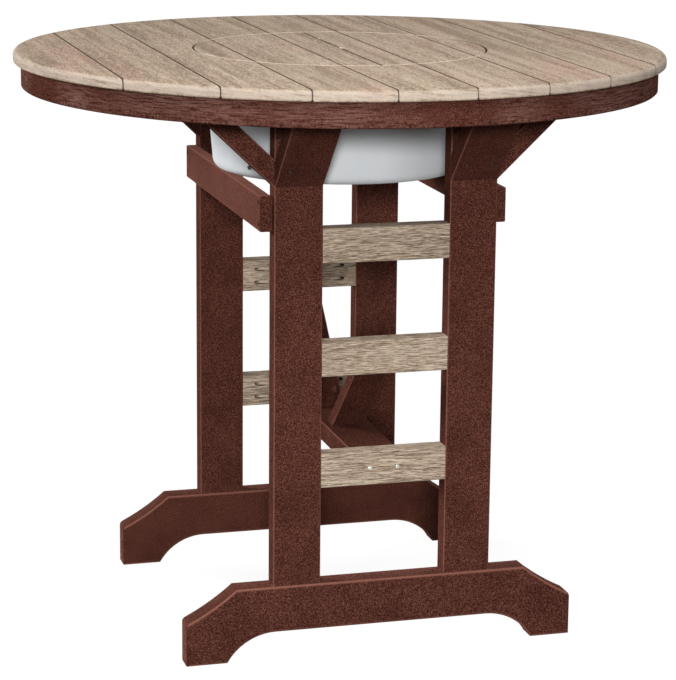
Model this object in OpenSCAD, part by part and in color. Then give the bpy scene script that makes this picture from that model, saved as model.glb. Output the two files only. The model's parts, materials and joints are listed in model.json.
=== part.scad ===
// Bar-height round table of recycled board, on two trestles, with an ice tub under a split lid.
// The origin is on the floor under the centre. X runs along the slats, and Y from the front trestle
// to the back one.

/* [Table top] */
// Diameter of the round top
top_d = 1219; // [1180:1:1260]
// Height of the top surface above the floor
table_h = 1080; // [1050:1:1130]
// Thickness of the top boards and of the lid
plank_t = 20; // [18:0.5:24]
// Width of one top board
plank_w = 136.5; // [132:0.5:142]
// Open seam between two top boards
plank_gap = 1.8; // [1.5:0.1:4]
// Radius of the rounded upper rim
rim_r = 9; // [4:0.5:11]
// Radius of the eased lower rim
rim_low_r = 3; // [1:0.5:5]

/* [Apron] */
// How far the apron stands in from the rim
apron_inset = 14; // [8:0.5:24]
// Height of the bent apron strip
apron_h = 46; // [38:0.5:60]
// Thickness of the bent apron strip
apron_t = 12; // [8:0.5:15]
// Chamfer on the lower edges of the apron
apron_chamfer = 1.5; // [0.5:0.25:3]
// Length of an apron fixing block along the strip
block_l = 60; // [40:1:90]
// Depth of an apron fixing block
block_t = 26; // [18:1:36]
// Height of an apron fixing block
block_h = 36; // [24:1:38]

/* [Battens] */
// Width of the cross boards under the top
batten_w = 61; // [50:1:66]
// Thickness of the cross boards under the top
batten_t = 34; // [26:0.5:38]
// Length of the cross boards that take the knee braces
outer_batten_l = 620; // [480:1:660]

/* [Lid and ledge] */
// Diameter of the lid
lid_d = 546; // [540:1:556]
// Gap all round between the lid and the top
lid_gap = 4; // [2:0.1:5]
// Saw cut between the two lid halves
lid_kerf = 2.5; // [1.5:0.1:5]
// Eased upper edge of the lid
lid_ease = 1.5; // [0.5:0.25:3]
// Diameter of the finger hole in the middle of the lid
finger_d = 18; // [12:0.5:26]
// Diameter of the vent hole on the saw cut
vent_d = 8; // [5:0.5:12]
// Distance of the vent hole behind the centre
vent_y = 156; // [100:1:190]
// Thickness of the lid cleats
cleat_t = 12; // [8:0.5:16]
// Width of the lid cleats
cleat_w = 30; // [20:1:40]
// Distance of the lid cleats from the centre line
cleat_y = 75; // [50:1:95]
// Thickness of the ledge ring that the tub hangs on
ledge_t = 14; // [10:0.5:18]
// Width of ledge ring screwed to the top boards
ledge_land = 28; // [20:1:34]

/* [Ice tub] */
// How far the lid reaches beyond the tub's wall on each side
lid_land = 18; // [17:0.5:25]
// Depth of the tub below the top boards
tub_depth = 202; // [180:0.5:215]
// Wall thickness of the tub
tub_wall = 3; // [2:0.25:4]
// Slope of the tub wall in degrees
tub_taper = 5; // [2:0.25:8]
// Outer radius of the rounded lower corner
tub_corner_r = 16; // [8:1:30]
// How far the flange reaches beyond the tub wall
flange_w = 15; // [8:0.5:15.5]
// Thickness of the flange
flange_t = 3; // [2:0.25:4]
// Diameter of the drain plug's head
plug_d = 8; // [6:0.5:14]
// Height of the drain plug above the bottom of the tub
plug_z = 22; // [21:1:45]
// Direction of the drain plug round the tub, in degrees
plug_angle = 211.5; // [180:0.5:260]
// Diameter of the drain hole
drain_d = 5; // [3:0.5:5.5]

/* [Trestles] */
// Width across the legs of one trestle
trestle_w = 414; // [380:0.2:450]
// Distance between the outer faces of the two trestles
trestle_span = 641; // [626:0.2:660]
// Width of a leg
leg_w = 89; // [76:1:100]
// Thickness of legs and slats
leg_t = 37; // [30:0.5:40]
// Eased long edges of all boards
ease_r = 2.5; // [1:0.25:4]

/* [Feet] */
// Length of a foot
foot_l = 738; // [680:1:800]
// Height of a foot
foot_h = 139.5; // [128:0.5:152]
// Thickness of a foot
foot_t = 46; // [40:0.5:52]
// Length of the flat top of a foot
foot_flat_l = 552; // [510:1:590]
// Height of the upright end of the toe
toe_h = 73.5; // [60:0.5:86]
// Radius of the rounded toe
toe_r = 10; // [4:0.5:16]
// Slope at the low end of the swept toe, in degrees
toe_slope = 26; // [20:0.5:29]
// Height of the arch under the foot
arch_h = 52.5; // [36:0.5:62]
// Length of the straight middle of the arch
arch_flat_l = 404; // [350:1:430]
// Radius at each end of the arch
arch_r = 105; // [80:1:115]
// Rounded edges of the foot
foot_round = 4; // [2:0.5:6]

/* [Slats] */
// Height of a slat
slat_h = 63.5; // [54:0.5:70]
// Height of the lowest slats above the floor
slat_z = 319.5; // [270:0.5:340]
// Step from one front slat to the next
front_pitch = 207.5; // [190:0.5:212]
// Step from the low to the high back slat
back_pitch = 239; // [220:1:250]
// Diameter of a pocket hole
pocket_d = 9.5; // [7:0.5:12]
// Slope of a pocket hole to the slat's face, in degrees
pocket_angle = 18; // [12:1:24]
// Distance of a pocket hole's tip from the leg
pocket_inset = 24; // [18:1:34]
// Distance between the two pocket holes at one end
pocket_spacing = 27; // [18:0.5:32]
// Diameter of the screw holes
screw_d = 4.5; // [3:0.1:6]

/* [Rails] */
// Height of a side rail
rail_h = 64; // [54:0.5:72]
// Thickness of a side rail
rail_t = 22.3; // [18:0.1:30]
// Gap between the tub and the side rails, which stop it if its ledge gives
rail_gap = 0.5; // [0.5:0.5:8]
// How far a side rail's ends stand in from the trestle's outer face
rail_inset = 18; // [0:0.5:22]
// Diameter of the sunk screw seats
seat_d = 9; // [6:0.5:12]
// Depth of the sunk screw seats
seat_depth = 5; // [3:0.5:8]
// Distance between the two screws at a rail's end
rail_screw_spacing = 39; // [28:0.5:42]

/* [Upper braces] */
// Space between a side rail and the foot of the braces
brace_gap = 18; // [5:0.5:40]
// Thickness of the braces in their own plane
brace_t = 36; // [28:0.5:40]
// Angle of the side braces above level, in degrees
side_brace_angle = 43.5; // [40:0.5:50]
// Height of the brace screws above the brace's lower corner
brace_screw_z = 32; // [26:0.5:36]
// Distance between the two screws across a brace
brace_screw_spacing = 46; // [34:0.5:56]

/* [Stretcher] */
// Width of the stretcher
stretcher_w = 89; // [76:1:100]
// Thickness of the stretcher
stretcher_t = 37; // [30:0.5:42]
// Distance between the two screws at a stretcher's end
stretcher_screw_spacing = 52; // [36:0.5:60]
// Width of the stretcher braces
strut_w = 63.5; // [50:0.5:72]
// Thickness of the stretcher braces
strut_t = 24; // [18:0.5:28]
// Distance of the front strut's foot from the middle of the stretcher
front_strut_y = 82; // [70:1:98]
// Distance of the back strut's foot from the middle of the stretcher
back_strut_y = 89; // [80:1:104]
// Rise of the front strut's lower face from the stretcher to the middle slat
front_strut_rise = 182.5; // [176:0.5:187]
// Rise of the back strut's lower face from the stretcher to the high slat
back_strut_rise = 196.5; // [190:0.5:210]
// Distance of the strut screws from the tip of a strut's upper face
strut_screw_run = 28; // [22:1:30]
// Distance between the two strut screws
strut_screw_spacing = 36; // [24:1:38]

/* [Foot bolts] */
// Diameter of a foot bolt
bolt_d = 8; // [6:0.5:10]
// Length of a foot bolt under its head
bolt_l = 120; // [100:1:140]
// Distance between the two bolts of one leg
bolt_spacing = 44; // [34:1:54]
// Diameter of the hole that sinks a bolt's head
bolt_seat_d = 20; // [18:0.5:26]
// Depth of the hole that sinks a bolt's head
bolt_seat_depth = 18; // [10:0.5:26]

/* [Hidden] */
// Play between curved pieces that stay together
fit = 0.3;
// Play between the tub's flange, its recess and the lid
seat_gap = 0.3;
// Play round the tub in the ledge ring
tub_gap = 2;
// Number of seams between the top boards
seams = 8;
// Distance of the cleats from the saw cut
cleat_inset = 6;
// Thickness of the drain plug's head
plug_head_t = 2;
// Length of the drain plug's stem inside the tub
plug_tail = 2;
// Distance of the rail screws from the leg's middle, towards the middle of the rail
rail_screw_shift = 10;
// Thickness of the washer under a bolt's head
washer_t = 2;
// Steps in a rounded corner
round_steps = 5;
// Steps in each end of a foot's arch
arch_steps = 12;
// Steps in the sweep of a toe
sweep_steps = 9;
// Facets of the small holes
hole_fn = 48;
// Allowance by which cutting shapes reach past what they cut
over = 5;
$fn = 96;

top_r = top_d / 2;
pitch = plank_w + plank_gap;
under_z = table_h - plank_t;
apron_out_r = top_r - apron_inset;
apron_in_r = apron_out_r - apron_t;
batten_z = under_z - batten_t;

lid_r = lid_d / 2;
opening_r = lid_r + lid_gap;
tub_r = lid_r - lid_land;
ledge_in_r = tub_r + tub_gap;
ledge_out_r = opening_r + ledge_land;
flange_r = tub_r + flange_w;
flange_z = under_z - seat_gap - flange_t;
mouth_r = tub_r - tub_wall;
cleat_end = sqrt(pow(mouth_r - 2 * tub_gap, 2) - pow(cleat_y + cleat_w / 2, 2));
cleat_start = lid_kerf / 2 + cleat_inset;

leg_out_x = trestle_w / 2;
leg_in_x = leg_out_x - leg_w;
leg_x = leg_out_x - leg_w / 2;
leg_out_y = trestle_span / 2;
leg_in_y = leg_out_y - leg_t;
leg_y = leg_out_y - leg_t / 2;

// Underside of a sunk bolt head
bolt_seat_z = arch_h + bolt_seat_depth;

tub_z = under_z - tub_depth;
rail_z = tub_z - rail_gap - rail_h;
brace_z = rail_z + rail_h + brace_gap;
brace_h = batten_z - brace_z;
outer_batten_y = leg_out_y + brace_h - brace_t / cos(45) / 2;
rail_x = leg_out_x + rail_t / 2;
rail_l = trestle_span - 2 * rail_inset;
rail_screw_y = leg_y - rail_screw_shift;
slat_l = 2 * leg_in_x;
stretcher_z = slat_z + slat_h / 2;
stretcher_top = stretcher_z + stretcher_t / 2;

front = -1;
back = 1;
left = -1;
right = 1;

tan_board = [0.70, 0.62, 0.53];
brown_board = [0.33, 0.19, 0.16];
white_plastic = [0.93, 0.94, 0.95];
dark_rubber = [0.12, 0.12, 0.12];
zinc_steel = [0.66, 0.67, 0.69];

// Points on an arc about a centre, from one angle to another
function arc(centre, r, from, to, steps = round_steps) =
    [for (i = [0:steps]) let (a = from + (to - from) * i / steps) centre + r * [cos(a), sin(a)]];

// Rectangle about the origin with four rounded corners
function eased_outline(w, t, r) = concat(
    arc([w / 2 - r, t / 2 - r], r, 0, 90),
    arc([r - w / 2, t / 2 - r], r, 90, 180),
    arc([r - w / 2, r - t / 2], r, 180, 270),
    arc([w / 2 - r, r - t / 2], r, 270, 360));

// Board along Z from the floor, w wide in X and t thick in Y, with eased long edges
module board(l, w, t) {
    linear_extrude(l) polygon(eased_outline(w, t, ease_r));
}

// Places a piece drawn in the right back quarter in any of the four quarters
module quarter(side, depth) {
    mirror([side == left ? 1 : 0, 0, 0])
        mirror([0, depth == front ? 1 : 0, 0])
            children();
}

// Screw hole along Z, wider from the height of the seat on to sink the screw's head
module sunk_hole(h, seat) {
    cylinder(h = h, d = screw_d, $fn = hole_fn);
    translate([0, 0, seat]) cylinder(h = h, d = seat_d, $fn = hole_fn);
}

// Top boards and lid

module round_top() {
    rim = concat(
        [[0, 0]],
        arc([top_r - rim_low_r, rim_low_r], rim_low_r, -90, 0),
        arc([top_r - rim_r, plank_t - rim_r], rim_r, 0, 90),
        [[0, plank_t]]);
    translate([0, 0, under_z]) difference() {
        rotate_extrude() polygon(rim);
        translate([0, 0, -over]) cylinder(h = plank_t + 2 * over, r = opening_r);
    }
}

// Middle of the seam to the right of board n, counted from 1 at the left
function seam_x(n) = (n - (seams + 1) / 2) * pitch;

// Edges of board n; the outer boards run out past the rim
function board_from(n) = n == 1 ? -top_r - over : seam_x(n - 1) + plank_gap / 2;
function board_to(n) = n == seams + 1 ? top_r + over : seam_x(n) - plank_gap / 2;

module top_board(n, depth = 0) {
    low_y = depth == back ? 0 : -top_r - over;
    high_y = depth == front ? 0 : top_r + over;
    color(tan_board) intersection() {
        round_top();
        translate([board_from(n), low_y, under_z - over])
            cube([board_to(n) - board_from(n), high_y - low_y, plank_t + 2 * over]);
    }
}

module round_lid() {
    outline = [[0, 0], [lid_r, 0], [lid_r, plank_t - lid_ease], [lid_r - lid_ease, plank_t],
        [0, plank_t]];
    translate([0, 0, under_z]) difference() {
        rotate_extrude() polygon(outline);
        translate([0, 0, -over]) cylinder(h = plank_t + 2 * over, d = finger_d);
        translate([0, vent_y, -over]) cylinder(h = plank_t + 2 * over, d = vent_d);
    }
}

// Board of one lid half between two distances from the saw cut's middle
module lid_board(side, from_x, to_x) {
    color(tan_board) intersection() {
        round_lid();
        quarter(side, back)
            translate([from_x, -lid_r - over, under_z - over])
                cube([to_x - from_x, 2 * (lid_r + over), plank_t + 2 * over]);
    }
}

module lid_inner(side) {
    lid_board(side, lid_kerf / 2, plank_w / 2);
}

module lid_middle(side) {
    lid_board(side, plank_w / 2 + plank_gap, plank_w / 2 + pitch);
}

module lid_outer(side) {
    lid_board(side, plank_w / 2 + plank_gap + pitch, lid_r + over);
}

module lid_cleats(side) {
    color(tan_board) for (depth = [front, back])
        quarter(side, depth)
            translate([cleat_start, cleat_y, under_z - cleat_t / 2])
                rotate([0, 90, 0])
                    linear_extrude(cleat_end - cleat_start) square([cleat_t, cleat_w], center = true);
}

// Apron, battens and ledge

module apron_ring() {
    c = apron_chamfer;
    strip = [[apron_in_r + c, 0], [apron_out_r - c, 0], [apron_out_r, c], [apron_out_r, apron_h],
        [apron_in_r, apron_h], [apron_in_r, c]];
    color(brown_board) translate([0, 0, under_z - apron_h]) rotate_extrude($fn = 180) polygon(strip);
}

module apron_blocks() {
    reach = apron_in_r - fit;
    color(tan_board) for (side = [left, right]) for (depth = [front, back])
        quarter(side, depth) intersection() {
            translate([0, 0, under_z - block_h]) cylinder(h = block_h, r = reach);
            rotate([0, 0, 45]) translate([reach - block_t, -block_l / 2, under_z - block_h])
                cube([block_t + over, block_l, block_h]);
        }
}

// Room between the ledge ring and the apron, at full batten height
module batten_room() {
    translate([0, 0, batten_z]) difference() {
        cylinder(h = batten_t, r = apron_in_r - fit);
        translate([0, 0, -over]) cylinder(h = batten_t + over - ledge_t, r = ledge_in_r);
        translate([0, 0, batten_t - ledge_t]) cylinder(h = ledge_t + over, r = ledge_out_r + fit);
    }
}

module batten(depth) {
    color(tan_board) intersection() {
        batten_room();
        quarter(right, depth)
            translate([-top_r, leg_y, batten_z + batten_t / 2])
                rotate([0, 90, 0]) board(top_d, batten_t, batten_w);
    }
}

module outer_batten(depth) {
    color(tan_board) intersection() {
        batten_room();
        quarter(right, depth)
            translate([-outer_batten_l / 2, outer_batten_y, batten_z + batten_t / 2])
                rotate([0, 90, 0]) board(outer_batten_l, batten_t, batten_w);
    }
}

module side_batten(side) {
    color(tan_board) intersection() {
        translate([0, 0, batten_z]) difference() {
            cylinder(h = batten_t, r = apron_in_r - fit);
            translate([0, 0, -over]) cylinder(h = batten_t + 2 * over, r = ledge_out_r + fit);
        }
        quarter(side, back)
            translate([0, 0, batten_z + batten_t / 2])
                rotate([0, 90, 0]) board(top_r, batten_t, batten_w);
    }
}

module ledge_ring() {
    recess = flange_t + 2 * seat_gap;
    color(tan_board) translate([0, 0, under_z - ledge_t]) difference() {
        cylinder(h = ledge_t, r = ledge_out_r);
        translate([0, 0, -over]) cylinder(h = ledge_t + 2 * over, r = ledge_in_r);
        translate([0, 0, ledge_t - recess]) cylinder(h = recess + over, r = flange_r + tub_gap / 2);
    }
}

// Ice tub

// Distance of the tub's outer wall from its axis, at a height above its bottom
function tub_wall_r(z) = tub_r - (tub_depth - seat_gap - flange_t - z) * tan(tub_taper);

module tub_body() {
    low = tub_corner_r * (1 - sin(tub_taper));
    corner = [tub_wall_r(low) - tub_corner_r * cos(tub_taper), tub_corner_r];
    lip = tub_depth - seat_gap;
    profile = concat(
        [[0, 0]],
        arc(corner, tub_corner_r, -90, -tub_taper),
        [[tub_r, lip - flange_t], [flange_r, lip - flange_t], [flange_r, lip], [mouth_r, lip]],
        arc(corner, tub_corner_r - tub_wall, -tub_taper, -90),
        [[0, tub_wall]]);
    translate([0, 0, tub_z]) rotate_extrude($fn = 128) polygon(profile);
}

// Places a shape on the tub's wall at the drain, X pointing outwards, square to the sloped wall
module at_drain() {
    translate([0, 0, tub_z])
        rotate([0, 0, plug_angle])
            translate([tub_wall_r(plug_z), 0, plug_z])
                rotate([0, tub_taper, 0])
                    rotate([0, 90, 0])
                        children();
}

module tub() {
    color(white_plastic) difference() {
        tub_body();
        at_drain() translate([0, 0, -tub_wall - over]) cylinder(h = tub_wall + 2 * over, d = drain_d);
    }
}

module drain_plug() {
    stem_from = tub_wall + plug_tail;
    color(dark_rubber) at_drain() {
        translate([0, 0, fit]) cylinder(h = plug_head_t, d = plug_d);
        translate([0, 0, -stem_from])
            cylinder(h = stem_from + fit + plug_head_t / 2, d = drain_d - 2 * fit);
    }
}

// Trestles

// Cylinders on the axes of the four bolts of the back trestle
module bolt_bores(d, z, h, sides = hole_fn) {
    for (side = [left, right]) for (i = [-1, 1])
        translate([side * leg_x + i * bolt_spacing / 2, leg_y, z]) cylinder(h = h, d = d, $fn = sides);
}

module leg(side, depth) {
    color(brown_board) difference() {
        quarter(side, depth) translate([leg_x, leg_y, foot_h]) board(batten_z - foot_h, leg_w, leg_t);
        quarter(right, depth)
            bolt_bores(bolt_d + 2 * fit, foot_h - over, bolt_seat_z + bolt_l - foot_h + 2 * over);
    }
}

// Right half of a foot's outline, from the middle of the arch round the toe to the middle of the top
function foot_half() = let (
        arch_end = asin((arch_r - arch_h) / arch_r),
        toe_start = [foot_l / 2 - toe_r, toe_h] + toe_r * [cos(90 - toe_slope), sin(90 - toe_slope)],
        shoulder = [foot_flat_l / 2, foot_h],
        chord = shoulder - toe_start,
        bend = atan2(chord[1], -chord[0]) - toe_slope,
        sweep_r = norm(chord) / (2 * sin(bend)),
        sweep_centre = toe_start + sweep_r * [sin(toe_slope), cos(toe_slope)])
    concat(
        arc([arch_flat_l / 2, arch_h - arch_r], arch_r, 90, arch_end, arch_steps),
        [[foot_l / 2, 0]],
        arc([foot_l / 2 - toe_r, toe_h], toe_r, 0, 90 - toe_slope),
        [for (i = [1:sweep_steps]) let (a = toe_slope + 2 * bend * i / sweep_steps)
            sweep_centre - sweep_r * [sin(a), cos(a)]]);

module foot_profile() {
    half = foot_half();
    last = len(half) - 1;
    polygon(concat(half, [for (i = [last:-1:0]) [-half[i][0], half[i][1]]]));
}

module foot(depth) {
    color(brown_board) quarter(right, depth) difference() {
        intersection() {
            translate([0, leg_y + foot_t / 2, 0])
                rotate([90, 0, 0]) linear_extrude(foot_t) foot_profile();
            translate([-foot_l / 2, leg_y, foot_h / 2]) rotate([0, 90, 0])
                linear_extrude(foot_l) polygon(eased_outline(foot_h, foot_t, foot_round));
            translate([0, leg_y, 0])
                linear_extrude(foot_h) polygon(eased_outline(foot_l, foot_t, foot_round));
        }
        bolt_bores(bolt_d + 2 * fit, 0, foot_h + over);
        bolt_bores(bolt_seat_d, 0, bolt_seat_z);
    }
}

module foot_bolts() {
    head_h = 0.7 * bolt_d;
    head_d = 1.8 * bolt_d;
    washer_d = 2.1 * bolt_d;
    washer_z = bolt_seat_z - washer_t;
    color(zinc_steel) for (depth = [front, back]) quarter(right, depth) {
        bolt_bores(bolt_d, washer_z, bolt_l + washer_t);
        bolt_bores(washer_d, washer_z, washer_t - fit);
        bolt_bores(head_d, washer_z - head_h, head_h, 6);
    }
}

// Pocket hole in the slat's inner face at its right end, tip towards the leg
module pocket(z) {
    run = pocket_d / sin(pocket_angle);
    translate([leg_in_x - pocket_inset, leg_in_y, z])
        rotate([0, 0, pocket_angle])
            translate([-run - over, pocket_d / 2, 0])
                rotate([0, 90, 0]) cylinder(h = run + over, d = pocket_d, $fn = hole_fn);
}

module slat(depth, z, screwed) {
    color(tan_board) quarter(right, depth) difference() {
        translate([-leg_in_x, leg_y, z + slat_h / 2])
            rotate([0, 90, 0]) board(slat_l, slat_h, leg_t);
        for (side = [left, right]) for (i = [-1, 1])
            quarter(side, back) pocket(z + slat_h / 2 + i * pocket_spacing / 2);
        if (screwed) for (i = [-1, 1])
            translate([i * stretcher_screw_spacing / 2, leg_in_y - over, z + slat_h / 2])
                rotate([-90, 0, 0]) cylinder(h = leg_t + 2 * over, d = screw_d, $fn = hole_fn);
    }
}

module side_rail(side) {
    color(brown_board) quarter(side, back) difference() {
        translate([rail_x, rail_l / 2, rail_z + rail_h / 2])
            rotate([90, 0, 0]) board(rail_l, rail_t, rail_h);
        for (y = [-rail_screw_y, rail_screw_y]) for (i = [-1, 1])
            translate([leg_out_x - over, y, rail_z + rail_h / 2 + i * rail_screw_spacing / 2])
                rotate([0, 90, 0]) sunk_hole(rail_t + 2 * over, rail_t + over - seat_depth);
    }
}

// Knee brace from a leg's outer face up and out to the outer batten
module knee_brace(side, depth) {
    reach = 2 * brace_h;
    color(brown_board) quarter(side, depth) difference() {
        intersection() {
            translate([leg_x, leg_out_y, brace_z]) rotate([-45, 0, 0])
                translate([0, -brace_t / 2, -reach]) board(2 * reach, leg_w, brace_t);
            translate([leg_x - leg_w / 2, leg_out_y, brace_z]) cube([leg_w, brace_h, brace_h]);
        }
        for (i = [-1, 1])
            translate([leg_x + i * brace_screw_spacing / 2, leg_out_y - over, brace_z + brace_screw_z])
                rotate([-90, 0, 0]) sunk_hole(brace_h, over + brace_screw_z - seat_depth);
    }
}

// Side brace from a leg's outer side up and out to the main batten
module side_brace(side, depth) {
    run = brace_h / tan(side_brace_angle);
    color(brown_board) quarter(side, depth) intersection() {
        translate([leg_out_x, leg_y, brace_z]) rotate([0, 90 - side_brace_angle, 0])
            translate([-brace_t / 2, 0, -brace_h]) board(4 * brace_h, brace_t, leg_t);
        translate([leg_out_x, leg_in_y, brace_z]) cube([run, leg_t, brace_h]);
    }
}

module stretcher() {
    color(brown_board) translate([0, leg_in_y, stretcher_z]) rotate([90, 0, 0])
        board(2 * leg_in_y, stretcher_w, stretcher_t);
}

// Strut from the stretcher up to a slat's inner face; foot_y is where its lower face meets the stretcher
module strut(depth, foot_y, rise) {
    run = leg_in_y - foot_y;
    slope = atan2(rise, run);
    tip_y = foot_y - strut_t / sin(slope);
    color(brown_board) quarter(right, depth) difference() {
        intersection() {
            translate([0, foot_y, stretcher_top]) rotate([slope - 90, 0, 0])
                translate([0, -strut_t / 2, -run]) board(4 * run, strut_w, strut_t);
            translate([-strut_w / 2, -run, stretcher_top])
                cube([strut_w, leg_in_y + run, 2 * rise]);
        }
        for (i = [-1, 1])
            translate([i * strut_screw_spacing / 2, tip_y + strut_screw_run, stretcher_top - over])
                sunk_hole(2 * rise, over + strut_t - seat_depth);
    }
}

top_board(1);  // plank_1
top_board(2);  // plank_2
top_board(3);  // plank_3
top_board(4, front);  // plank_4_front
top_board(4, back);  // plank_4_back
top_board(5, front);  // plank_5_front
top_board(5, back);  // plank_5_back
top_board(6, front);  // plank_6_front
top_board(6, back);  // plank_6_back
top_board(7);  // plank_7
top_board(8);  // plank_8
top_board(9);  // plank_9
apron_ring();
apron_blocks();
batten(front);  // batten_front
batten(back);  // batten_back
outer_batten(front);  // outer_batten_front
outer_batten(back);  // outer_batten_back
side_batten(left);  // side_batten_left
side_batten(right);  // side_batten_right
ledge_ring();
tub();
drain_plug();
lid_inner(left);  // lid_left_inner
lid_middle(left);  // lid_left_middle
lid_outer(left);  // lid_left_outer
lid_cleats(left);  // lid_left_cleats
lid_inner(right);  // lid_right_inner
lid_middle(right);  // lid_right_middle
lid_outer(right);  // lid_right_outer
lid_cleats(right);  // lid_right_cleats
leg(left, front);  // leg_front_left
leg(right, front);  // leg_front_right
leg(left, back);  // leg_back_left
leg(right, back);  // leg_back_right
foot(front);  // foot_front
foot(back);  // foot_back
foot_bolts();
slat(front, slat_z, true);  // slat_front_low
slat(front, slat_z + front_pitch, false);  // slat_front_mid
slat(front, slat_z + 2 * front_pitch, false);  // slat_front_high
slat(back, slat_z, true);  // slat_back_low
slat(back, slat_z + back_pitch, false);  // slat_back_high
side_rail(left);  // side_rail_left
side_rail(right);  // side_rail_right
knee_brace(left, front);  // knee_brace_front_left
knee_brace(right, front);  // knee_brace_front_right
knee_brace(left, back);  // knee_brace_back_left
knee_brace(right, back);  // knee_brace_back_right
side_brace(left, front);  // side_brace_front_left
side_brace(right, front);  // side_brace_front_right
side_brace(left, back);  // side_brace_back_left
side_brace(right, back);  // side_brace_back_right
stretcher();
strut(front, front_strut_y, front_strut_rise);  // stretcher_brace_front
strut(back, back_strut_y, back_strut_rise);  // stretcher_brace_back
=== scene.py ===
import json
import math

import bpy
from mathutils import Matrix, Vector


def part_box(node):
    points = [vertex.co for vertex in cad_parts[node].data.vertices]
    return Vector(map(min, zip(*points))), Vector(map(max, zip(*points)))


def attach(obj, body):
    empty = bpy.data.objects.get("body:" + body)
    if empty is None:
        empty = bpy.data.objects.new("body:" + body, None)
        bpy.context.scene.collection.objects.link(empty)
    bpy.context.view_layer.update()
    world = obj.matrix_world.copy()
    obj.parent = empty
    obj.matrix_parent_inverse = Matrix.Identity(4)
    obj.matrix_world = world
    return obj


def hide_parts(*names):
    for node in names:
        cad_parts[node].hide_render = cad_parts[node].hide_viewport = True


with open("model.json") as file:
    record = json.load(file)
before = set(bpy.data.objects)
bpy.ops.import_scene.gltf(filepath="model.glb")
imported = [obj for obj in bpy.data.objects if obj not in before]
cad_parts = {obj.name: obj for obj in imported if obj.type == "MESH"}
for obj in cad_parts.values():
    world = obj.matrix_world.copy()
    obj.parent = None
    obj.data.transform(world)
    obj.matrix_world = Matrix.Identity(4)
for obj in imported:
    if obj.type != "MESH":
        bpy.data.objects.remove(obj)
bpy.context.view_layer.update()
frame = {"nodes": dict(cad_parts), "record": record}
nodes = frame["nodes"]


# camera at the photographed angle, without lens shift

cameraView = {
    "place": (-1.27695, -4.52774, 1.62145),
    "turn": 15.7706,
    "dip": 13.2193,
    "roll": 0.5399,
    "focal": 2505.06,  # in pixels of a picture 676 wide
    "pictureWidth": 676,
    "sensor": 36.0,
}


def setCamera(look):
    lens = bpy.data.cameras.new("studioCamera")
    lens.sensor_fit = "HORIZONTAL"
    lens.sensor_width = look["sensor"]
    lens.lens = look["focal"] * look["sensor"] / look["pictureWidth"]
    lens.clip_end = 200
    camera = bpy.data.objects.new("studioCamera", lens)
    bpy.context.scene.collection.objects.link(camera)
    aim = Matrix.Rotation(-math.radians(look["turn"]), 4, "Z")
    aim = aim @ Matrix.Rotation(math.radians(90 - look["dip"]), 4, "X")
    aim = aim @ Matrix.Rotation(math.radians(look["roll"]), 4, "Z")
    camera.matrix_world = Matrix.Translation(look["place"]) @ aim
    bpy.context.scene.camera = camera


setCamera(cameraView)
print("camera set")


# shader kit: a Wire is one output, and sums on it add Math nodes


class Wire:
    def __init__(self, kit, socket):
        self.kit = kit
        self.socket = socket

    def __add__(self, other):
        return self.kit.sumOf("ADD", self, other)

    def __sub__(self, other):
        return self.kit.sumOf("SUBTRACT", self, other)

    def __rsub__(self, other):
        return self.kit.sumOf("SUBTRACT", other, self)

    def __mul__(self, other):
        return self.kit.sumOf("MULTIPLY", self, other)


class Finish:
    def __init__(self, owner):  # a new material, or the world
        self.owner = owner
        owner.use_nodes = True
        self.tree = owner.node_tree
        self.tree.nodes.clear()

    def add(self, kind, settings=None, sockets=None, output=0):
        node = self.tree.nodes.new(kind)
        for name, value in (settings or {}).items():
            setattr(node, name, value)
        for name, value in (sockets or {}).items():
            if isinstance(value, Wire):
                self.tree.links.new(value.socket, node.inputs[name])
            else:
                node.inputs[name].default_value = value
        return Wire(self, node.outputs[output]) if node.outputs else node

    def sumOf(self, operation, first, second=0.0):
        return self.add("ShaderNodeMath", {"operation": operation}, {0: first, 1: second})

    def axes(self, vector):
        x = self.add("ShaderNodeSeparateXYZ", None, {"Vector": vector}, "X")
        outputs = x.socket.node.outputs
        return x, Wire(self, outputs["Y"]), Wire(self, outputs["Z"])

    def stretched(self, vector, scale, turn=(0, 0, 0), shift=(0, 0, 0)):  # turn in degrees
        return self.add("ShaderNodeMapping", {"vector_type": "TEXTURE"}, {
            "Vector": vector, "Location": shift, "Rotation": [math.radians(a) for a in turn],
            "Scale": scale})

    def noise(self, where, scale, detail=2.0, roughness=0.5):
        return self.add("ShaderNodeTexNoise", None, {
            "Vector": where, "Scale": scale, "Detail": detail, "Roughness": roughness})

    def spread(self, value, low, high):  # stretches low..high to 0..1
        return self.add("ShaderNodeMapRange", None, {"Value": value, "From Min": low, "From Max": high})

    def mix(self, factor, first, second):
        return self.add("ShaderNodeMix", {"data_type": "RGBA"}, {0: factor, 6: first, 7: second}, 2)

    def rough(self, pattern, look):  # look: the least roughness, and how much more it reaches
        return self.spread(pattern, 0.2, 0.8) * look[1] + look[0]

    def bump(self, height, strength, distance):
        return self.add("ShaderNodeBump", None, {
            "Height": height, "Strength": strength, "Distance": distance})

    def close(self, sockets):
        shader = self.add("ShaderNodeBsdfPrincipled", None, sockets)
        self.add("ShaderNodeOutputMaterial", None, {"Surface": shader})
        return self.owner


def paint(red, green, blue):  # a colour as a picture shows it, 0 to 255
    def straight(part):
        part = part / 255
        return part / 12.92 if part <= 0.04045 else ((part + 0.055) / 1.055) ** 2.4
    return (straight(red), straight(green), straight(blue), 1.0)


def newFinish(name):
    return Finish(bpy.data.materials.new(name))


# recycled boards: grain along each board, its own place in the pattern for each board

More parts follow.
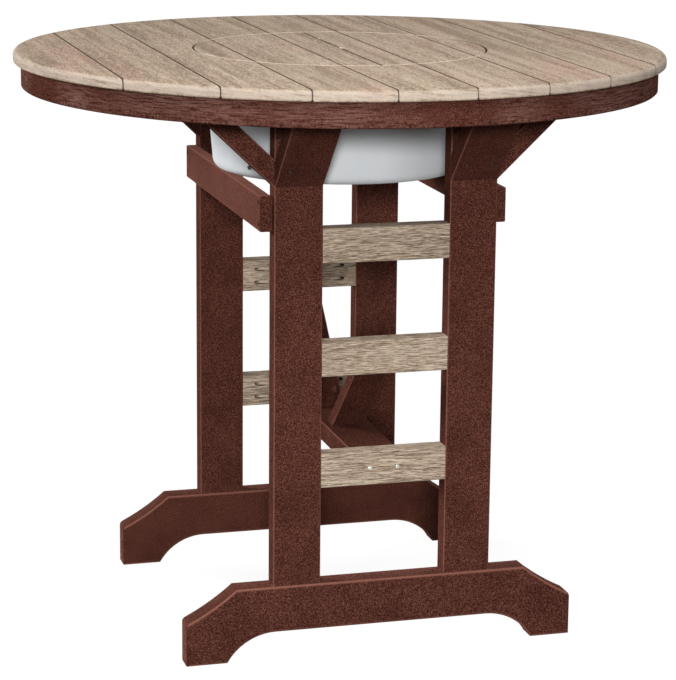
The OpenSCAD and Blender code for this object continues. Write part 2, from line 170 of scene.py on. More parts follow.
tanBoard = {
    "middle": paint(190, 168, 146),
    "rose": paint(196, 160, 142),
    "olive": paint(168, 152, 126),
    "dark": paint(108, 86, 68),
    "light": paint(232, 214, 192),
    # lighter cut colour of the rim, partly a painted highlight
    "milledHighlight": paint(199, 184, 170),
    # painted shade for the seams, the saw cut in the lid and the pocket holes
    "seam": paint(66, 44, 32),
    "stretch": 6.0,  # how long the grain is beside its width
    "grainScale": 540.0,
    "darkShare": 0.6,
    "lightShare": 0.6,
    "roseScale": 9.0,
    "oliveScale": 13.0,
    "patchShare": 0.7,
    "bandScale": 36.0,  # broad soft bands along a board
    "bandStretch": 4.0,
    "bandDark": 0.42,
    "bandLight": 0.35,
    "fineDark": 0.5,
    "roughness": (0.56, 0.2),
    "shine": 0.03,
    "bump": 0.0008,
}
tanSlat = dict(tanBoard)
tanSlat.update({
    "middle": paint(174, 152, 130),
    "rose": paint(182, 150, 130),
    "olive": paint(158, 143, 120),
    "dark": paint(86, 66, 50),
    "light": paint(228, 210, 188),
    "stretch": 4.0,
    "grainScale": 620.0,
    "lineScale": 1250.0,
    "lineStretch": 36.0,
    "lineDark": 0.85,
    "lineLight": 0.9,
    "darkShare": 0.42,
    "lightShare": 0.46,
    "patchShare": 0.35,
    "bump": 0.001,
})

# turn of a board's grain, from the Z axis to the way the board lies, in degrees about X, Y and Z
grainTurn = {
    "upright": (0, 0, 0),
    "across": (0, 90, 0),
    "deep": (90, 0, 0),
    "kneeFront": (45, 0, 0),
    "kneeBack": (-45, 0, 0),
    "sideRight": (0, 46.5, 0),
    "sideLeft": (0, -46.5, 0),
    "strutFront": (48, 0, 0),
    "strutBack": (-45, 0, 0),
}

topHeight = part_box("plank_1")[1].z
blur = 0.0004  # how soft the outline of a painted place is
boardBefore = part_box("plank_2")
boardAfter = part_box("plank_3")
seamLook = {
    "step": boardAfter[0].x - boardBefore[0].x,
    "gap": boardAfter[0].x - boardBefore[1].x,
    "shadeReach": 0.0018,  # how far the painted shade reaches beside the gap
    "share": 0.9,
    "rimShare": 0.15,  # less painted shade on the rim
}


def seamShade(kit, x, look):  # 1 in the seams between the top boards and just beside them, where shade is painted
    half = look["step"] / 2
    wrap = kit.add("ShaderNodeMath", {"operation": "WRAP"}, {0: x - half, 1: half, 2: -half})
    side = look["gap"] / 2
    return kit.spread(kit.sumOf("ABSOLUTE", wrap), side + look["shadeReach"], side + look["shadeReach"] * 0.2)


def fromAxis(kit, spot, back=0.0):  # distance from an upright line this far behind the centre
    flat = kit.stretched(spot, (1, 1, 1000), shift=(0, back, 0))
    return kit.add("ShaderNodeVectorMath", {"operation": "LENGTH"}, {0: flat}, "Value")


rimLook = {
    "radius": -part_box("plank_1")[0].x,
    "width": 0.006,  # of the band that the router cut
    "low": 0.018,  # below the top
    "high": 0.015,
    "lineScale": 260.0,
    "lineStretch": 16.0,
    "tilt": 7.0,
    "milledHighlightLeast": 0.3,
    "milledHighlightShare": 0.6,
    "darkShare": 0.5,
}


def rimShade(kit, colour, spot, radius, look):  # the rim as the router left it, lighter on its upper part as cut colour and painted highlight, and the share of it
    z = kit.axes(spot)[2]
    inner = rimLook["radius"] - rimLook["width"]
    along = (rimLook["lineStretch"], rimLook["lineStretch"], 1)
    lines = kit.noise(kit.stretched(spot, along, (0, rimLook["tilt"], 0)), rimLook["lineScale"], 4, 0.7)
    # the upper rim: lighter cut colour and a painted highlight
    rim = kit.spread(radius, inner, inner + rimLook["width"] / 2)
    rim = rim * kit.spread(z, topHeight - rimLook["low"], topHeight - rimLook["high"])
    milledHighlight = kit.spread(lines, 0.36, 0.62) * rimLook["milledHighlightShare"] + rimLook["milledHighlightLeast"]
    colour = kit.mix(rim * milledHighlight, colour, look["milledHighlight"])
    scores = rim * kit.spread(lines, 0.44, 0.3)
    return kit.mix(scores * rimLook["darkShare"], colour, look["dark"]), rim


lidLook = {
    "radius": -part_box("lid_left_outer")[0].x,
    "ease": 0.0017,
    "easeShare": 0.2,
    "easeHighlight": 0.4,  # more painted highlight in front and at the back
    "gap": 0.004,
    "wallShare": 0.8,  # of the painted highlight and shade on the walls of the gap
    "kerf": 2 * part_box("lid_right_inner")[0].x,
    "kerfDepth": 0.004,
    "kerfShare": 0.9,
    "shadeReach": 0.0014,
    "holes": ((0.0, 0.009), (0.156, 0.004)),  # distance behind the centre, and radius
    "holeShare": 0.55,
    "holeHighlight": (0.003, 0.001),  # the painted highlight ring ends and begins this far outside a hole
    "highlightFrom": 0.07,  # painted highlight in front and at the back, painted shade on the gap wall at the ends
    "highlightTo": 0.17,
}


def lidShade(kit, colour, spot, radius, frontBackHighlight, look):  # painted highlights on the eased edge and round the holes, painted shade in the saw cut of the lid
    x, _, z = kit.axes(spot)
    ease = lidLook["radius"] - lidLook["ease"]
    # painted highlight on the lid's eased edge, stronger in front and at the back
    edge = kit.spread(radius, ease - blur, ease)
    edgeHighlight = frontBackHighlight * lidLook["easeHighlight"] + lidLook["easeShare"]
    colour = kit.mix(edge * edgeHighlight, colour, look["light"])
    # painted shade in the saw cut between the lid's halves
    side = lidLook["kerf"] / 2
    cut = kit.spread(kit.sumOf("ABSOLUTE", x), side + lidLook["shadeReach"], side + lidLook["shadeReach"] * 0.3)
    upper = kit.spread(z, topHeight - lidLook["kerfDepth"], topHeight - lidLook["kerfDepth"] * 0.3)
    colour = kit.mix(cut * upper * lidLook["kerfShare"], colour, look["seam"])
    ringEnd, ringStart = lidLook["holeHighlight"]
    # painted highlight round the vent and finger holes
    for back, size in lidLook["holes"]:
        ring = kit.spread(fromAxis(kit, spot, back), size + ringEnd, size + ringStart)
        colour = kit.mix(ring * lidLook["holeShare"], colour, look["light"])
    return colour


def topShade(kit, colour, spot, look, isLid):  # router cuts, painted shade in the seams, and painted highlight and shade in the gap round the lid
    x, y, _ = kit.axes(spot)
    radius = fromAxis(kit, spot)
    colour, rim = rimShade(kit, colour, spot, radius, look)
    # painted shade in the seams, less of it on the rim
    share = seamLook["share"] - rim * (seamLook["share"] - seamLook["rimShare"])
    colour = kit.mix(seamShade(kit, x, seamLook) * share, colour, look["seam"])
    # 1 in front and at the back, 0 at the ends: where the lid's highlights are painted
    frontBackHighlight = kit.spread(kit.sumOf("ABSOLUTE", y), lidLook["highlightFrom"], lidLook["highlightTo"])
    if isLid:
        colour = lidShade(kit, colour, spot, radius, frontBackHighlight, look)
    # painted highlight on the walls of the gap in front and at the back, painted shade at the ends
    opening = lidLook["radius"] + lidLook["gap"]
    wall = kit.spread(radius, lidLook["radius"] - blur, lidLook["radius"] - blur / 4)
    wall = wall * kit.spread(radius, opening + blur, opening + blur / 4)
    wallColour = kit.mix(frontBackHighlight, look["dark"], look["light"])
    return kit.mix(wall * lidLook["wallShare"], colour, wallColour)


pocketLook = {
    "spread": 0.0135,  # from the slat's middle line
    "reach": 0.0056,
    "faceClear": 0.001,  # from the slat's outer face
    "cutShare": 0.6,
    "sideShare": 0.85,
    "deepShare": 0.9,
    "sideFrom": 0.0024,
    "sideTo": 0.0036,
    "deepFrom": 0.005,
    "deepTo": 0.0085,
}


def pocketShade(kit, colour, spot, name, look):  # pocket holes, pale as freshly cut, with painted shade on their sides and at the deep tip
    low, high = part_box(name)
    _, y, z = kit.axes(spot)
    inner = min(abs(low.y), abs(high.y))
    outer = max(abs(low.y), abs(high.y))
    depth = kit.sumOf("ABSOLUTE", y)
    up = kit.sumOf("ABSOLUTE", z - (low.z + high.z) / 2)
    away = kit.sumOf("ABSOLUTE", up - pocketLook["spread"])
    clear = pocketLook["faceClear"]
    near = kit.spread(away, pocketLook["reach"], pocketLook["reach"] - blur * 1.5)
    near = near * kit.spread(depth, outer - clear, outer - clear * 2)
    cut = near * kit.spread(depth, inner + blur / 4, inner + blur)
    side = cut * kit.spread(away, pocketLook["sideFrom"], pocketLook["sideTo"])
    deep = near * kit.spread(depth, inner + pocketLook["deepFrom"], inner + pocketLook["deepTo"])
    colour = kit.mix(cut * pocketLook["cutShare"], colour, look["light"])
    # painted shade on the pocket's sides and at its deep tip
    colour = kit.mix(side * pocketLook["sideShare"], colour, look["seam"])
    return kit.mix(deep * pocketLook["deepShare"], colour, look["seam"])


def slatShade(kit, colour, spot, grain, shift, look):  # fine lines along a slat
    along = kit.stretched(spot, (1, 1, look["lineStretch"]), grainTurn[grain], shift)
    lines = kit.noise(along, look["lineScale"], 3, 0.7)
    colour = kit.mix(kit.spread(lines, 0.5, 0.4) * look["lineDark"], colour, look["dark"])
    return kit.mix(kit.spread(lines, 0.5, 0.6) * look["lineLight"], colour, look["light"])


def makeTan(name, look, grain, shift):
    kit = newFinish("tan_" + name)
    spot = kit.add("ShaderNodeTexCoord", output="Object")
    along = kit.stretched(spot, (1, 1, look["stretch"]), grainTurn[grain], shift)
    wide = kit.stretched(along, (1, 1, 0.6))
    rosePatch = kit.spread(kit.noise(wide, look["roseScale"], 2), 0.5, 0.68)
    olivePatch = kit.spread(kit.noise(wide, look["oliveScale"], 3, 0.6), 0.52, 0.7)
    grains = kit.noise(along, look["grainScale"], 2, 0.6)
    fine = kit.noise(spot, look["grainScale"] * 1.5, 2, 0.6)
    streak = kit.noise(along, look["grainScale"] * 0.22, 4, 0.65)
    mixed = grains * 0.7 + streak * 0.3
    colour = kit.mix(rosePatch * look["patchShare"], look["middle"], look["rose"])
    colour = kit.mix(olivePatch * look["patchShare"], colour, look["olive"])
    bands = kit.noise(kit.stretched(along, (1, 1, look["bandStretch"])), look["bandScale"], 3, 0.6)
    colour = kit.mix(kit.spread(bands, 0.52, 0.38) * look["bandDark"], colour, look["dark"])
    colour = kit.mix(kit.spread(bands, 0.52, 0.68) * look["bandLight"], colour, look["light"])
    colour = kit.mix(kit.spread(mixed, 0.49, 0.38) * look["darkShare"], colour, look["dark"])
    colour = kit.mix(kit.spread(mixed, 0.52, 0.62) * look["lightShare"], colour, look["light"])
    colour = kit.mix(kit.spread(fine, 0.46, 0.3) * look["fineDark"], colour, look["dark"])
    if name.startswith(("plank", "lid")) and not name.endswith("cleats"):
        colour = topShade(kit, colour, spot, look, name.startswith("lid"))
    if name.startswith("slat"):
        colour = slatShade(kit, colour, spot, grain, shift, look)
        colour = pocketShade(kit, colour, spot, name, look)
    return kit.close({
        "Base Color": colour,
        "Roughness": kit.rough(streak, look["roughness"]),
        "Specular IOR Level": look["shine"],
        "Normal": kit.bump(grains * 0.7 + fine * 0.3, 0.8, look["bump"]),
    })


brownBoard = {
    "middle": paint(86, 48, 39),
    "dark": paint(36, 15, 12),
    "light": paint(158, 106, 90),
    # lighter edges: wear and a painted highlight
    "edge": paint(162, 108, 94),
    "edgeShare": 0.3,
    "footEdgeShare": 0.5,
    "edgeShine": 0.12,  # worn edges are this much smoother
    "sheen": paint(226, 156, 140),
    "sheenShare": 0.024,
    "brightSheenShare": 0.24,  # on the rails and feet
    "sheenRoughness": 0.35,
    "speckScale": 620.0,
    "speckDark": 0.8,
    "speckLight": 0.75,
    "cloudScale": 14.0,
    "cloudShare": 0.25,
    "roughness": (0.42, 0.16),
    "bump": 0.0009,
}


def edgeWearAndHighlight(kit, grain):  # 1 on the rounded long edges of a board, where wear and a painted highlight go
    normal = kit.add("ShaderNodeNewGeometry", output="True Normal")
    turned = kit.stretched(normal, (1, 1, 1), grainTurn[grain])
    sides = kit.axes(kit.add("ShaderNodeVectorMath", {"operation": "ABSOLUTE"}, {0: turned}))
    return kit.spread(sides[0] * sides[1], 0.1, 0.35)


def makeBrown(name, look, grain):
    kit = newFinish("brown_" + name)
    spot = kit.add("ShaderNodeTexCoord", output="Object")
    specks = kit.noise(spot, look["speckScale"], 2, 0.6)
    fine = kit.noise(spot, look["speckScale"] * 2.4, 2, 0.5)
    cloud = kit.noise(spot, look["cloudScale"], 3, 0.6)
    bright = kit.spread(specks * 0.6 + fine * 0.4, 0.52, 0.63)
    colour = kit.mix(kit.spread(specks, 0.5, 0.38) * look["speckDark"], look["middle"], look["dark"])
    colour = kit.mix(bright * look["speckLight"], colour, look["light"])
    colour = kit.mix(kit.spread(cloud, 0.45, 0.65) * look["cloudShare"], colour, look["dark"])
    edge = edgeWearAndHighlight(kit, grain)
    share = look["footEdgeShare"] if name.startswith("foot") else look["edgeShare"]
    catchesLight = name.startswith(("side_rail", "foot"))
    # lighter rounded edges: edge wear and a painted highlight
    colour = kit.mix(edge * (kit.spread(specks, 0.3, 0.6) * 0.25 + share), colour, look["edge"])
    return kit.close({
        "Base Color": colour,
        "Roughness": kit.rough(fine, look["roughness"]) - edge * look["edgeShine"],
        "Specular IOR Level": 0.0,
        "Sheen Weight": look["brightSheenShare"] if catchesLight else look["sheenShare"],
        "Sheen Roughness": look["sheenRoughness"],
        "Sheen Tint": look["sheen"],
        "Normal": kit.bump(specks * 0.7 + fine * 0.3, 0.85, look["bump"]),
    })


apronLook = dict(brownBoard)
apronLook.update({
    "scuff": paint(154, 118, 108),  # brushed places
    "scuffShare": 0.65,
    "scuffScale": 5.0,
    "lineScale": 420.0,
    "lineStretch": 14.0,
    "fleckScale": 190.0,  # dark flecks near its lower edge
    "fleckShare": 0.75,
    "fleckFrom": 0.02,
    "fleckTo": 0.004,
    "sheenShare": 0.048,
    "speckDark": 0.7,
    "speckLight": 0.5,
})


def makeApron(look):  # it bends round the table, so its lines are drawn out in X and Y alike
    kit = newFinish("brownApron")
    spot = kit.add("ShaderNodeTexCoord", output="Object")
    specks = kit.noise(spot, look["speckScale"], 2, 0.55)
    along = kit.stretched(spot, (look["lineStretch"], look["lineStretch"], 1))
    lines = kit.noise(along, look["lineScale"], 3, 0.7)
    brushed = kit.spread(kit.noise(spot, look["scuffScale"], 1), 0.4, 0.6)
    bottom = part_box("apron_ring")[0].z
    lower = kit.spread(kit.axes(spot)[2], bottom + look["fleckFrom"], bottom + look["fleckTo"])
    flecks = kit.spread(kit.noise(spot, look["fleckScale"], 3, 0.6), 0.5, 0.38)
    scuffs = kit.spread(lines, 0.4, 0.66) * brushed
    colour = kit.mix(kit.spread(specks, 0.5, 0.34) * look["speckDark"], look["middle"], look["dark"])
    colour = kit.mix(kit.spread(specks, 0.52, 0.66) * look["speckLight"], colour, look["light"])
    colour = kit.mix(scuffs * look["scuffShare"], colour, look["scuff"])
    colour = kit.mix(kit.spread(lines, 0.48, 0.34) * 0.5, colour, look["dark"])
    colour = kit.mix(flecks * lower * look["fleckShare"], colour, look["dark"])
    return kit.close({
        "Base Color": colour,
        "Roughness": kit.rough(specks, look["roughness"]),
        "Specular IOR Level": 0.0,
        "Sheen Weight": look["sheenShare"],
        "Sheen Roughness": look["sheenRoughness"],
        "Sheen Tint": look["sheen"],
        "Normal": kit.bump(specks * 0.5 + lines * 0.5, 0.8, look["bump"]),
    })


tubLook = {
    "clean": paint(226, 229, 231),
    "dull": paint(216, 221, 225),
    "dust": paint(200, 206, 210),
    "dustShare": 0.25,
    "cloudScale": 9.0,
    "gritScale": 520.0,
    "roughness": (0.38, 0.15),
    "shine": 0.3,
    "bump": 0.0004,
}


def makeTub(look):
    kit = newFinish("whiteTub")
    spot = kit.add("ShaderNodeTexCoord", output="Object")
    cloud = kit.noise(spot, look["cloudScale"], 3, 0.55)
    grit = kit.noise(spot, look["gritScale"], 2, 0.5)
    colour = kit.mix(kit.spread(cloud, 0.35, 0.7), look["clean"], look["dull"])
    colour = kit.mix(kit.spread(grit, 0.52, 0.7) * look["dustShare"], colour, look["dust"])
    return kit.close({
        "Base Color": colour,
        "Roughness": kit.rough(grit, look["roughness"]),
        "Specular IOR Level": look["shine"],
        "Normal": kit.bump(grit * 0.4 + cloud * 0.6, 0.4, look["bump"]),
    })


steelLook = {
    "clean": paint(214, 210, 200),
    "dull": paint(176, 172, 164),
    "metal": 0.85,
    "shine": 0.5,
    "cloudScale": 160.0,
    "scuffScale": 1400.0,
    "roughness": (0.22, 0.3),
    "bump": 0.0001,
}
coatedLook = dict(steelLook)
coatedLook.update({
    "clean": paint(66, 42, 35),
    "dull": paint(36, 22, 18),
    "metal": 0.3,
    "shine": 0.2,
})


def makeSteel(name, look):
    kit = newFinish(name)
    spot = kit.add("ShaderNodeTexCoord", output="Object")
    cloud = kit.noise(spot, look["cloudScale"], 3, 0.6)
    scuffs = kit.noise(spot, look["scuffScale"], 2, 0.6)
    return kit.close({
        "Base Color": kit.mix(kit.spread(cloud, 0.35, 0.7), look["clean"], look["dull"]),
        "Metallic": look["metal"],
        "Specular IOR Level": look["shine"],
        "Roughness": kit.rough(scuffs, look["roughness"]),
        "Normal": kit.bump(scuffs, 0.3, look["bump"]),
    })


rubberLook = {
    "dark": paint(26, 26, 27),
    "dusty": paint(48, 47, 46),
    "gritScale": 900.0,
    "roughness": (0.6, 0.2),
    "bump": 0.0002,
}


def makeRubber(look):
    kit = newFinish("darkRubber")
    spot = kit.add("ShaderNodeTexCoord", output="Object")
    grit = kit.noise(spot, look["gritScale"], 2, 0.6)
    return kit.close({
        "Base Color": kit.mix(kit.spread(grit, 0.35, 0.7), look["dark"], look["dusty"]),
        "Roughness": kit.rough(grit, look["roughness"]),
        "Normal": kit.bump(grit, 0.5, look["bump"]),
    })


def dress(thing, material):
    thing.data.materials.clear()
    thing.data.materials.append(material)


# which way the grain runs, by the start of a node's name
grainWays = {
    "plank": "deep", "lid": "deep", "apron_blocks": "across", "batten": "across",
    "outer_batten": "across", "side_batten": "across", "ledge": "deep", "leg": "upright",
    "foot": "across", "slat": "across", "side_rail": "deep", "knee_brace_front": "kneeFront",
    "knee_brace_back": "kneeBack", "stretcher": "deep", "stretcher_brace_front": "strutFront",
    "stretcher_brace_back": "strutBack", "side_brace_front_left": "sideLeft",
    "side_brace_back_left": "sideLeft", "side_brace_front_right": "sideRight",
    "side_brace_back_right": "sideRight",
}


def grainOf(name):
    fits = [key for key in grainWays if name.startswith(key)]
    return grainWays[max(fits, key=len)]


steel = makeSteel("zincSteel", steelLook)
coatedSteel = makeSteel("coatedSteel", coatedLook)
rubber = makeRubber(rubberLook)
tub = makeTub(tubLook)
apron = makeApron(apronLook)
slots = {part["node"]: part["material_slot"] for part in frame["record"]["subparts"]}
for count, (name, thing) in enumerate(sorted(nodes.items())):
    shift = (0.37 * count % 3.1, 0.71 * count % 2.3, 0.53 * count % 5.7)
    slot = slots[name]
    if name == "apron_ring":
        dress(thing, apron)
    elif slot == "tan_board":
        look = tanSlat if name.startswith("slat") else tanBoard
        dress(thing, makeTan(name, look, grainOf(name), shift))
    elif slot == "brown_board":
        dress(thing, makeBrown(name, brownBoard, grainOf(name)))
    elif slot == "white_plastic":
        dress(thing, tub)
    elif slot == "dark_rubber":
        dress(thing, rubber)
    else:
        dress(thing, steel)
print("boards dressed:", len(nodes))


# pieces made here: feet with rounded edges, and all the screws


def clearChoice():
    if bpy.context.object and bpy.context.object.mode != "OBJECT":
        bpy.ops.object.mode_set(mode="OBJECT")
    bpy.ops.object.select_all(action="DESELECT")


def choose(thing):
    clearChoice()
    thing.select_set(True)
    bpy.context.view_layer.objects.active = thing


def copyNode(name, newName):
    piece = nodes[name].copy()
    piece.data = nodes[name].data.copy()
    piece.name = newName
    piece.data.name = newName
    piece.parent = None
    for key in list(piece.keys()):
        del piece[key]
    bpy.context.scene.collection.objects.link(piece)
    choose(piece)
    bpy.ops.object.mode_set(mode="EDIT")
    bpy.ops.mesh.select_all(action="SELECT")
    bpy.ops.mesh.remove_doubles(threshold=0.00001)
    bpy.ops.object.mode_set(mode="OBJECT")
    return piece


footLook = {
    "cut": 0.0155,  # from the foot's middle, clear of the bolt holes and of the rounded edges
    "round": 0.0045,
    "steps": 4,
    "boltSpread": 0.022,
    "boltSeat": 0.0705,
    "seatRadius": 0.01,
    "seatSides": 32,
}
smoothAngle = math.radians(40)


def selectEdges(piece, test):
    bpy.ops.object.mode_set(mode="EDIT")
    bpy.ops.mesh.select_mode(type="EDGE")
    bpy.ops.mesh.select_all(action="DESELECT")
    bpy.ops.object.mode_set(mode="OBJECT")
    points = piece.data.vertices
    for edge in piece.data.edges:
        edge.select = test(*(points[i].co for i in edge.vertices))
    bpy.ops.object.mode_set(mode="EDIT")


def cutAway(piece, cutter):
    choose(piece)
    cut = piece.modifiers.new("cut", "BOOLEAN")
    cut.object = cutter
    cut.operation = "DIFFERENCE"
    cut.solver = "EXACT"
    bpy.ops.object.modifier_apply(modifier=cut.name)
    bpy.data.objects.remove(cutter)


def makeFoot(depth, look):
    name = "foot_" + depth
    low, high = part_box(name)
    middle = (low.y + high.y) / 2
    half = (high.y - low.y) / 2
    foot = copyNode(name, "foot" + depth.capitalize())
    bpy.ops.object.mode_set(mode="EDIT")
    bpy.ops.mesh.select_all(action="SELECT")
    bpy.ops.mesh.bisect(plane_co=(0, middle + look["cut"], 0), plane_no=(0, 1, 0),
                        use_fill=True, clear_inner=True, clear_outer=True)
    bpy.ops.mesh.select_all(action="SELECT")
    bpy.ops.mesh.dissolve_limited(angle_limit=math.radians(1))
    bpy.ops.mesh.select_all(action="SELECT")
    bpy.ops.transform.translate(value=(0, half - look["cut"], 0))
    bpy.ops.mesh.extrude_region_move(TRANSFORM_OT_translate={"value": (0, -2 * half, 0)})
    bpy.ops.mesh.select_all(action="SELECT")
    bpy.ops.mesh.normals_make_consistent(inside=False)
    selectEdges(foot, lambda a, b: abs(a.y - b.y) < 0.0005)  # the edges round both faces
    bpy.ops.mesh.bevel(offset=look["round"], segments=look["steps"], profile=0.5)
    bpy.ops.object.mode_set(mode="OBJECT")
    for side in ("left", "right"):
        legLow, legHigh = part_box("leg_%s_%s" % (depth, side))
        for part in (-look["boltSpread"], look["boltSpread"]):
            clearChoice()
            bpy.ops.mesh.primitive_cylinder_add(
                vertices=look["seatSides"], radius=look["seatRadius"], depth=look["boltSeat"] * 2,
                location=((legLow.x + legHigh.x) / 2 + part, middle, 0))
            cutAway(foot, bpy.context.object)
    bpy.ops.object.shade_smooth_by_angle(angle=smoothAngle)
    dress(foot, nodes[name].data.materials[0])
    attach(foot, "table")
    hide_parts(name)
    return foot


for depth in ("front", "back"):
    foot = makeFoot(depth, footLook)
    print(foot.name, len(foot.data.polygons), "faces")


screwLook = {
    "sides": 16,
    "radius": 0.0042,
    "height": 0.0026,
    "drive": 0.0024,  # side of the square recess
    "driveDepth": 0.0014,
}


def makeScrew(look):  # pan head on Z, its flat side on the origin
    clearChoice()
    bpy.ops.mesh.primitive_cylinder_add(vertices=look["sides"], radius=look["radius"],
                                        depth=look["height"], location=(0, 0, look["height"] / 2))
    screw = bpy.context.object
    screw.name = "screwPattern"
    bpy.ops.object.transform_apply(location=True, rotation=False, scale=False)
    top = look["height"] - 0.0001
    selectEdges(screw, lambda a, b: a.z > top and b.z > top)
    bpy.ops.mesh.bevel(offset=look["height"] * 0.6, segments=3, profile=0.5)
    bpy.ops.object.mode_set(mode="OBJECT")
    clearChoice()
    middle = look["height"] - look["driveDepth"] + look["drive"] / 2
    bpy.ops.mesh.primitive_cube_add(size=look["drive"], location=(0, 0, middle))
    cutAway(screw, bpy.context.object)
    bpy.ops.object.shade_smooth_by_angle(angle=smoothAngle)
    return screw


def placeScrews(name, pattern, material, spots, body):  # a spot: where the head sits, the way it faces
    copies = []
    for place, way in spots:
        screw = pattern.copy()
        screw.data = pattern.data.copy()
        bpy.context.scene.collection.objects.link(screw)
        turn = Vector(way).to_track_quat("Z", "Y").to_matrix().to_4x4()
        screw.data.transform(Matrix.Translation(place) @ turn)
        copies.append(screw)
    choose(copies[0])
    for screw in copies:
        screw.select_set(True)
    bpy.ops.object.join()
    group = bpy.context.object
    group.name = name
    group.data.name = name
    dress(group, material)
    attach(group, body)
    print(name, len(spots))


def bothSides(spots):  # the same spots again, mirrored in X
    return spots + [((-x, y, z), (-wayX, wayY, wayZ)) for (x, y, z), (wayX, wayY, wayZ) in spots]


def bothEnds(spots):  # the same spots again, mirrored in Y
    return spots + [((x, -y, z), (wayX, -wayY, wayZ)) for (x, y, z), (wayX, wayY, wayZ) in spots]


# where screw heads sit, in metres
heads = {
    "seat": 0.005,
    "railSpread": 0.0195,
    "railY": 0.292,
    "kneeSpread": 0.023,
    "kneeRise": 0.032,
    "slatSpread": 0.026,
    "strutSpread": 0.018,
    "strutHeight": 0.019,  # above the stretcher
    "frontStrutY": 0.07425,
    "backStrutY": 0.08323,
    "pocketX": 0.0925,
    "pocketIn": 0.0045,
    "pocketSlope": 18,
    "cleatY": 0.075,
    "cleatX": (0.022, 0.05, 0.095, 0.185, 0.22),
    "battenY": 0.277,
    "battenX": (0.035, 0.103, 0.173, 0.242, 0.31, 0.38, 0.45),
    "outerBattenX": (0.035, 0.103, 0.242),
    "sideBattenY": 0.018,
    "sideBattenX": (0.32, 0.38, 0.45, 0.53),
    "ledgeRadius": 0.29,
    "ledgeAngles": (10, 35, 60),
    "blockReach": 0.5572,  # from the table's axis to a block's inner face
    "blockDrop": 0.018,
    "blockSpread": 0.016,
}
down = (0, 0, -1)
pattern = makeScrew(screwLook)

low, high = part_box("side_rail_right")
railScrews = [((high.x - heads["seat"], heads["railY"], (low.z + high.z) / 2 + up), (1, 0, 0))
              for up in (-heads["railSpread"], heads["railSpread"])]
placeScrews("railScrews", pattern, coatedSteel, bothSides(bothEnds(railScrews)), "table")

low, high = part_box("knee_brace_back_right")
kneeScrews = [(((low.x + high.x) / 2 + part, low.y + heads["kneeRise"] - heads["seat"],
                low.z + heads["kneeRise"]), (0, 1, 0))
              for part in (-heads["kneeSpread"], heads["kneeSpread"])]
placeScrews("kneeScrews", pattern, coatedSteel, bothSides(bothEnds(kneeScrews)), "table")

low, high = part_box("slat_back_low")
slatScrews = [((heads["slatSpread"], high.y, (low.z + high.z) / 2), (0, 1, 0))]
placeScrews("slatScrews", pattern, steel, bothSides(bothEnds(slatScrews)), "table")

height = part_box("stretcher")[1].z + heads["strutHeight"]
strutScrews = [((heads["strutSpread"], y, height), (0, 0, 1))
               for y in (-heads["frontStrutY"], heads["backStrutY"])]
placeScrews("strutScrews", pattern, coatedSteel, bothSides(strutScrews), "table")

slope = math.radians(heads["pocketSlope"])
pocketScrews = []
for name in nodes:
    if name.startswith("slat"):
        low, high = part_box(name)
        inner = min(low.y, high.y, key=abs)
        out = math.copysign(1, inner)
        for up in (-pocketLook["spread"], pocketLook["spread"]):
            place = (heads["pocketX"], inner + out * heads["pocketIn"], (low.z + high.z) / 2 + up)
            pocketScrews.append((place, (-math.cos(slope), -out * math.sin(slope), 0)))
placeScrews("pocketScrews", pattern, coatedSteel, bothSides(pocketScrews), "table")

low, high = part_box("batten_back")
battenScrews = [((x, heads["battenY"], low.z), down) for x in heads["battenX"]]
low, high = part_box("outer_batten_back")
battenScrews += [((x, (low.y + high.y) / 2, low.z), down) for x in heads["outerBattenX"]]
sideScrews = [((x, heads["sideBattenY"] * (-1) ** number, low.z), down)
              for number, x in enumerate(heads["sideBattenX"])]
placeScrews("battenScrews", pattern, steel, bothSides(bothEnds(battenScrews) + sideScrews), "table")

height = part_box("ledge_ring")[0].z
ledgeScrews = [((heads["ledgeRadius"] * math.cos(math.radians(a)),
                 heads["ledgeRadius"] * math.sin(math.radians(a)), height), down)
               for a in heads["ledgeAngles"]]
placeScrews("ledgeScrews", pattern, steel, bothSides(bothEnds(ledgeScrews)), "table")

half = math.sqrt(0.5)
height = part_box("apron_blocks")[1].z - heads["blockDrop"]
blockScrews = [((half * (heads["blockReach"] - part), half * (heads["blockReach"] + part), height),
                (-half, -half, 0)) for part in (-heads["blockSpread"], heads["blockSpread"])]
placeScrews("blockScrews", pattern, steel, bothSides(bothEnds(blockScrews)), "table")

low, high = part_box("lid_right_cleats")
cleatScrews = bothEnds([((x, heads["cleatY"], low.z), down) for x in heads["cleatX"]])
mirrored = bothSides(cleatScrews)[len(cleatScrews):]
placeScrews("lidScrewsRight", pattern, steel, cleatScrews, "lid_right")
placeScrews("lidScrewsLeft", pattern, steel, mirrored, "lid_left")
bpy.data.objects.remove(pattern)


# studio: pale floor, a small panel in front, a large one above it, and low light from three sides

studio = {
    "world": 0.13,
    "leftLight": {"power": 2.8, "angle": 14, "from": (-0.72, 0.66, 0.2)},
    "rightLight": {"power": 0.8, "angle": 20, "from": (0.78, 0.55, 0.3)},
    "frontLight": {"power": 1.65, "angle": 8, "from": (-0.27, -0.94, 0.217)},
    "frontPanel": {"power": 13.0, "size": 0.2, "place": (-0.75, -2.6, 1.5), "aim": (0, 0, 0.7)},
    "topPanel": {"power": 38.0, "size": 1.2, "place": (-0.5, -1.9, 2.9), "aim": (0, -1.2, 0.9)},
    "floorSize": 80.0,
    "floorTone": (0.15, 0.15, 0.15, 1),  # as the object's light meets it
    "floorShade": 0.2,  # how much of the light on it the camera sees
    "floorGlow": 0.92,
    "floorClouds": 2.0,
}


def addLamp(kind, name, power):
    lamp = bpy.data.lights.new(name, kind)
    lamp.energy = power
    holder = bpy.data.objects.new(name, lamp)
    bpy.context.scene.collection.objects.link(holder)
    return holder


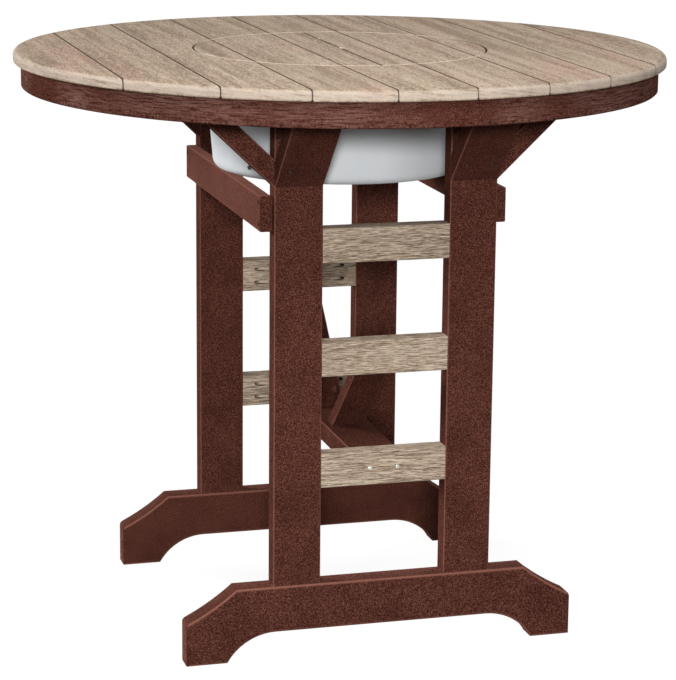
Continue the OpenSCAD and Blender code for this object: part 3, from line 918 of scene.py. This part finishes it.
def addSun(name, look):
    sun = addLamp("SUN", name, look["power"])
    sun.data.angle = math.radians(look["angle"])
    sun.rotation_euler = Vector(look["from"]).to_track_quat("Z", "Y").to_euler()


def addPanel(name, look):
    panel = addLamp("AREA", name, look["power"])
    panel.data.shape = "DISK"
    panel.data.size = look["size"]
    panel.location = look["place"]
    away = Vector(look["place"]) - Vector(look["aim"])
    panel.rotation_euler = away.to_track_quat("Z", "Y").to_euler()


def seenClear(kit):  # 1 for what the camera, a reflection or glass sees
    ray = kit.add("ShaderNodeLightPath", output="Is Camera Ray")
    for name in ("Is Glossy Ray", "Is Transmission Ray"):
        ray = kit.sumOf("MAXIMUM", ray, kit.add("ShaderNodeLightPath", output=name))
    return ray


def addWorld(level):  # white to the camera and in reflections, dim for lighting
    world = bpy.data.worlds.new("paleStudio")
    bpy.context.scene.world = world
    kit = Finish(world)
    lit = kit.add("ShaderNodeBackground", None, {"Color": (1, 1, 1, 1), "Strength": level})
    white = kit.add("ShaderNodeBackground", None, {"Color": (1, 1, 1, 1), "Strength": 1.0})
    shown = kit.add("ShaderNodeMixShader", None, {0: seenClear(kit), 1: lit, 2: white})
    kit.add("ShaderNodeOutputWorld", None, {"Surface": shown})


def addFloor(look):
    clearChoice()
    bpy.ops.mesh.primitive_plane_add(size=look["floorSize"], location=(0, 0, 0))
    floor = bpy.context.object
    floor.name = "floor"
    kit = newFinish("paleFloor")
    spot = kit.add("ShaderNodeTexCoord", output="Object")
    cloud = kit.noise(spot, look["floorClouds"], 2)
    clean = (look["floorShade"],) * 3 + (1,)
    dull = (look["floorShade"] * 1.02,) * 3 + (1,)
    pale = kit.mix(kit.spread(cloud, 0.3, 0.7), clean, dull)
    bounce = kit.add("ShaderNodeBsdfDiffuse", None, {"Color": look["floorTone"]})
    matte = kit.add("ShaderNodeBsdfDiffuse", None, {"Color": pale})
    glow = kit.add("ShaderNodeEmission", None, {"Color": (1, 1, 1, 1), "Strength": look["floorGlow"]})
    shown = kit.add("ShaderNodeAddShader", None, {0: matte, 1: glow})
    both = kit.add("ShaderNodeMixShader", None, {0: seenClear(kit), 1: bounce, 2: shown})
    kit.add("ShaderNodeOutputMaterial", None, {"Surface": both})
    dress(floor, kit.owner)


addSun("leftLight", studio["leftLight"])
addSun("frontLight", studio["frontLight"])
addSun("rightLight", studio["rightLight"])
addPanel("frontPanel", studio["frontPanel"])
addPanel("topPanel", studio["topPanel"])
addWorld(studio["world"])
addFloor(studio)
bpy.context.scene.view_settings.view_transform = "Standard"
print("studio set")
